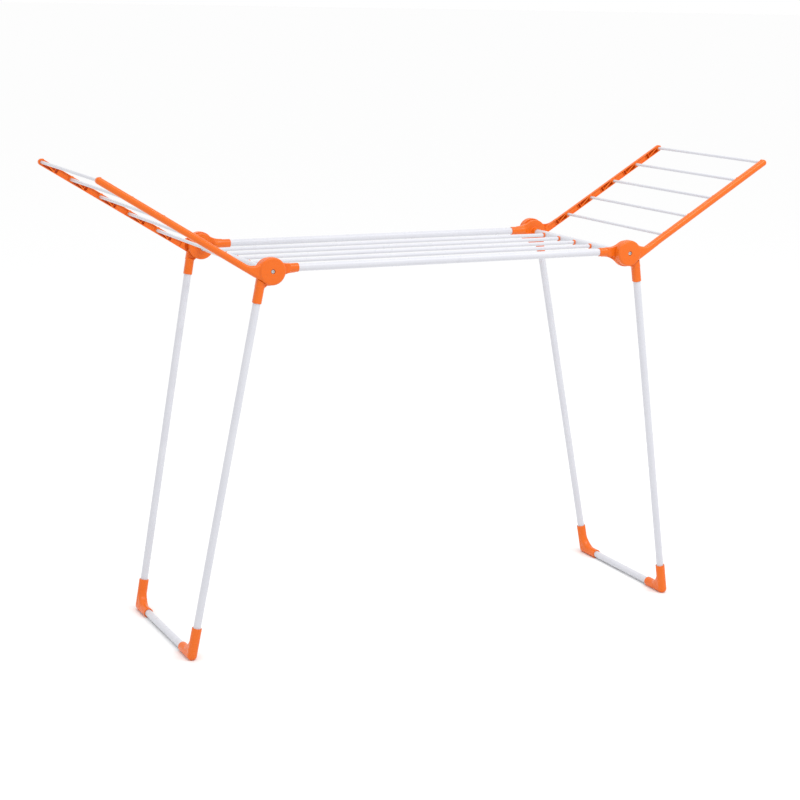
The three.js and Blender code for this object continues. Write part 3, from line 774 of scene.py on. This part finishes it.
def all_pockets(x, d, z):
    """The pockets of the first bay, which starts at the hub, and of the equal bays beyond it."""
    start = ARM_CLEAR_RADIUS - ARM_WALL
    first = pockets(x - start, d, z, WING_ROD_FIRST - start)
    bay = np.clip(np.floor((x - WING_ROD_FIRST) / WING_ROD_PITCH), 0, ROD_COUNT - 2)
    others = pockets(x - WING_ROD_FIRST - bay * WING_ROD_PITCH, d, z, WING_ROD_PITCH)
    return np.minimum(first, others)


def crescent_marks(x, d, z):
    """Two small raised arcs below the screw recess, one on each side of its lowest point."""
    ring = np.abs(np.hypot(x, z) - MARK_RADIUS) - MARK_HALF_WIDTH
    angle = np.abs(np.abs(np.arctan2(x, -z)) - MARK_PLACE) - MARK_HALF
    arcs = np.maximum(ring, MARK_RADIUS * angle)
    return np.maximum(arcs, between(d, ARM_DISC_OUTER - OVERLAP, ARM_DISC_OUTER + MARK_HEIGHT))


def wing_arm(x, d, z):
    """Turns on the pivot screw outside the leg socket, and carries one end of each wing rod."""
    from_pivot = np.hypot(x, z)
    disc = common(from_pivot - HUB_RADIUS, d - ARM_DISC_OUTER, radius=ARM_EDGE)
    disc = np.maximum(disc, ARM_DISC_INNER - d)
    bar = np.minimum(bar_of_arm(x, d, z), neck_of_arm(x, d, z))
    rod = np.clip(np.round((x - WING_ROD_FIRST) / WING_ROD_PITCH), 0, ROD_COUNT - 1)
    along = x - WING_ROD_FIRST - rod * WING_ROD_PITCH
    bump_z = WING_ROD_DROP + ARM_HALF_HEIGHT + BUMP_HEIGHT - BUMP_RADIUS
    bump_span = between(d, ARM_BAR_INNER, ARM_BAR_INNER + BUMP_WIDTH)
    bump = common(circle(along, z, (0, bump_z), BUMP_RADIUS), bump_span, radius=0.8)
    solid = fuse(disc, bar, radius=1.5)
    solid = fuse(solid, bump, radius=1)
    solid = np.maximum(solid, -HUB_RADIUS - z)
    leg_room = np.maximum(from_pivot - ARM_CLEAR_RADIUS, d - ARM_DISC_INNER)
    solid = remove(np.maximum(solid, -leg_room), all_pockets(x, d, z), radius=0.5)
    from_rod = np.hypot(along, z - WING_ROD_DROP)
    seat = common(from_rod - SEAT_RADIUS, between(d, SEAT_FACE, POCKET_FLOOR + OVERLAP), radius=0.7)
    rod_bore = np.maximum(from_rod - WING_ROD_BORE, d - WING_ROD_END)
    solid = remove(fuse(solid, seat, radius=0.7), rod_bore)
    recess = np.maximum(from_pivot - SCREW_RECESS_RADIUS, SCREW_RECESS_FLOOR - d)
    solid = np.minimum(solid, crescent_marks(x, d, z))
    return remove(remove(solid, recess, radius=0.7), from_pivot - SCREW_HOLE)


def foot_elbow(x, d, z):
    """Joins a leg to the foot tube, with a rounded heel and a flat sole."""
    down, across = along_leg(d, z)
    from_leg = np.hypot(x - LEG_OFFSET, across)
    from_foot = np.hypot(x - LEG_OFFSET, z + LEG_LENGTH)
    up_arm = common(from_leg - ELBOW_RADIUS, between(down, LEG_LINE - ELBOW_ARM, LEG_LINE), radius=1)
    side_arm = common(from_foot - ELBOW_RADIUS, between(d, FOOT_D - ELBOW_ARM, FOOT_D), radius=1)
    heel = np.sqrt((x - LEG_OFFSET) ** 2 + (d - FOOT_D) ** 2 + (z + LEG_LENGTH) ** 2) - ELBOW_RADIUS
    inner_corner = np.maximum(across, -(z + LEG_LENGTH))
    gusset = np.maximum(fuse(up_arm, side_arm, GUSSET_RADIUS), inner_corner)
    gusset = common(gusset, np.abs(x - LEG_OFFSET) - GUSSET_HALF_WIDTH, radius=4)
    solid = np.minimum(np.minimum(np.minimum(up_arm, heel), side_arm), gusset)
    over_floor = HUB_Z + x * math.sin(LEG_SPLAY) + z * math.cos(LEG_SPLAY)
    solid = common(solid, -over_floor, radius=0.6)
    insert_end = ELBOW_ARM - ELBOW_INSERT - SLACK
    leg_bore = np.maximum(from_leg - TUBE_BORE, down - LEG_LINE + insert_end)
    foot_bore = np.maximum(from_foot - TUBE_BORE, d - FOOT_D + insert_end)
    return remove(remove(solid, leg_bore, radius=0.6), foot_bore, radius=0.6)


# ---------------------------------------------------------------------------------------------------------
# Pieces
# ---------------------------------------------------------------------------------------------------------

def corner_matrix(corner, turn=0):
    """From a corner's own axes (x outboard, d out from the middle plane, z up) into the frame, in metres."""
    facing, side = corner.split("_")
    is_left = side == "left"
    is_front = facing == "front"
    across = -1 if is_front != is_left else 1
    half_turn = Matrix.Rotation(math.pi if is_left else 0, 4, "Z")
    scale = Matrix.Diagonal((MM, across * MM, MM, 1))
    return half_turn @ Matrix.Translation(HUB) @ Matrix.Rotation(-turn, 4, "Y") @ scale


def add_corner_pieces(kind, field, low, high, step, keep, turn=0):
    """One moulded piece at each of the four corners."""
    points, faces = moulded(field, low, high, step, keep)
    for corner in CORNERS:
        add_piece(f"{kind}_{corner}", points, faces, corner_matrix(corner, turn))


def add_straight_tube(node, radius, wall, axis):
    """An open tube along X (axis 0) or Y (axis 1), in the place of a CAD tube."""
    low, high = (Vector(corner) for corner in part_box(node))
    half = (high - low)[axis] / 2 / MM
    points, faces = turned(tube_profile(radius, wall, -half, half))
    turn = Matrix.Rotation(-math.pi / 2 if axis == 0 else 0, 4, "Z")
    add_piece(node, points, faces, Matrix.Translation((low + high) / 2) @ turn @ Matrix.Scale(MM, 4))


def add_leg_tube(corner):
    """A leg, from its socket down to its elbow."""
    ends = (LEG_TUBE_START, LEG_LINE - (ELBOW_ARM - ELBOW_INSERT))
    points, faces = turned(tube_profile(TUBE_RADIUS, TUBE_WALL, *ends))
    down = Matrix.Rotation(-math.pi / 2 - LEG_TAPER, 4, "X")
    onto_line = Matrix.Translation((LEG_OFFSET, LEG_TOP_D, 0)) @ down
    add_piece(f"leg_tube_{corner}", points, faces, corner_matrix(corner, LEG_SPLAY) @ onto_line)


def bush_profile():
    """Section of a rod bush, from the inboard face of its collar to the end of its spigot."""
    quarter = quarter_turn(BUSH_STEPS)
    inner = BUSH_COLLAR_RADIUS - BUSH_ROUNDING
    far = BUSH_COLLAR_LENGTH - BUSH_ROUNDING
    near_edge = [(inner + BUSH_ROUNDING * math.sin(a), BUSH_ROUNDING * (1 - math.cos(a))) for a in quarter]
    far_edge = [(inner + BUSH_ROUNDING * math.cos(a), far + BUSH_ROUNDING * math.sin(a)) for a in quarter]
    low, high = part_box("rod_bush_right_1")
    length = (high[0] - low[0]) / MM
    spigot = [(BUSH_SPIGOT_RADIUS, BUSH_COLLAR_LENGTH), (BUSH_SPIGOT_RADIUS, length), (BUSH_BORE, length)]
    return [(BUSH_BORE, 0), *near_edge, *far_edge, *spigot]


def add_rod_bush(side, number):
    """The collar at one end of a table rod, with its spigot in the end tube."""
    node = f"rod_bush_{side}_{number}"
    low, high = (Vector(corner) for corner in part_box(node))
    start = (low + high) / 2
    start.x = low.x if side == "right" else high.x
    turn = Matrix.Rotation(-math.pi / 2 if side == "right" else math.pi / 2, 4, "Z")
    add_piece(node, *turned(bush_profile()), Matrix.Translation(start) @ turn @ Matrix.Scale(MM, 4))


def add_tubes():
    """Every tube, rod and rod bush."""
    for name in ("rail_front", "rail_rear"):
        add_straight_tube(name, TUBE_RADIUS, TUBE_WALL, 0)
    for number in range(1, ROD_COUNT + 1):
        add_straight_tube(f"table_rod_{number}", TABLE_ROD_RADIUS, ROD_WALL, 0)
    for side in ("right", "left"):
        add_straight_tube(f"end_tube_{side}", TUBE_RADIUS, TUBE_WALL, 1)
        add_straight_tube(f"foot_tube_{side}", TUBE_RADIUS, TUBE_WALL, 1)
        for number in range(1, ROD_COUNT + 1):
            add_straight_tube(f"wing_rod_{side}_{number}", WING_ROD_RADIUS, ROD_WALL, 1)
            add_rod_bush(side, number)
    for corner in CORNERS:
        add_leg_tube(corner)


def pivot_grid(half, span):
    """Opposite corners of a grid that reaches this far from the pivot axis, over a span across the rack."""
    return (-half, span[0], -half), (half, span[1], half)


def add_brackets():
    """The four corner brackets."""
    reach = HUB_RADIUS + GRID_MARGIN
    low = (-SLEEVE_END - GRID_MARGIN, BOSS_END - GRID_MARGIN, END_TUBE_RISE - reach)
    high = (END_TUBE_OUT + reach, BRACKET_OUTER + GRID_MARGIN, END_TUBE_RISE + reach)
    add_corner_pieces("corner_bracket", corner_bracket, low, high, MOULDING_STEP, keep=0.45)


def add_leg_sockets():
    """The four leg sockets."""
    reach = HUB_RADIUS + GRID_MARGIN
    low = (-reach, SOCKET_GRID_D[0], -SOCKET_END - WIDE_MARGIN)
    high = (reach, SOCKET_GRID_D[1], reach)
    add_corner_pieces("leg_socket", leg_socket, low, high, MOULDING_STEP, keep=0.45, turn=LEG_SPLAY)


def add_wing_arms():
    """The four wing arms."""
    reach = HUB_RADIUS + GRID_MARGIN
    tip = WING_ROD_FIRST + (ROD_COUNT - 1) * WING_ROD_PITCH + ARM_HALF_HEIGHT
    low = (-reach, ARM_GRID_D[0], -reach)
    high = (tip + GRID_MARGIN, ARM_GRID_D[1], reach)
    add_corner_pieces("wing_arm", wing_arm, low, high, MOULDING_STEP, keep=0.3, turn=WING_ANGLE)


def add_foot_elbows():
    """The four foot elbows."""
    reach = ELBOW_RADIUS + GRID_MARGIN
    low = (LEG_OFFSET - reach, FOOT_D - ELBOW_ARM - GRID_MARGIN, -LEG_LENGTH - reach)
    high = (LEG_OFFSET + reach, FOOT_D + reach + GRID_MARGIN, -LEG_LENGTH + ELBOW_ARM + WIDE_MARGIN)
    add_corner_pieces("foot_elbow", foot_elbow, low, high, MOULDING_STEP, keep=0.4, turn=LEG_SPLAY)


def add_mouldings():
    """Every moulded piece, screw and nut, at all four corners."""
    add_brackets()
    add_leg_sockets()
    add_wing_arms()
    add_foot_elbows()
    screw_grid = pivot_grid(SCREW_GRID_HALF, SCREW_GRID_D)
    add_corner_pieces("pivot_screw", pivot_screw, *screw_grid, SCREW_STEP, keep=0.3)
    nut_grid = pivot_grid(SCREW_GRID_HALF, NUT_GRID_D)
    add_corner_pieces("pivot_nut", pivot_nut, *nut_grid, NUT_STEP, keep=0.3)


add_camera()
add_floor()
add_studio()
MATERIALS = {"orange_plastic": orange_plastic(), "white_tube": white_tube(), "zinc_steel": zinc_steel()}
add_tubes()
add_mouldings()
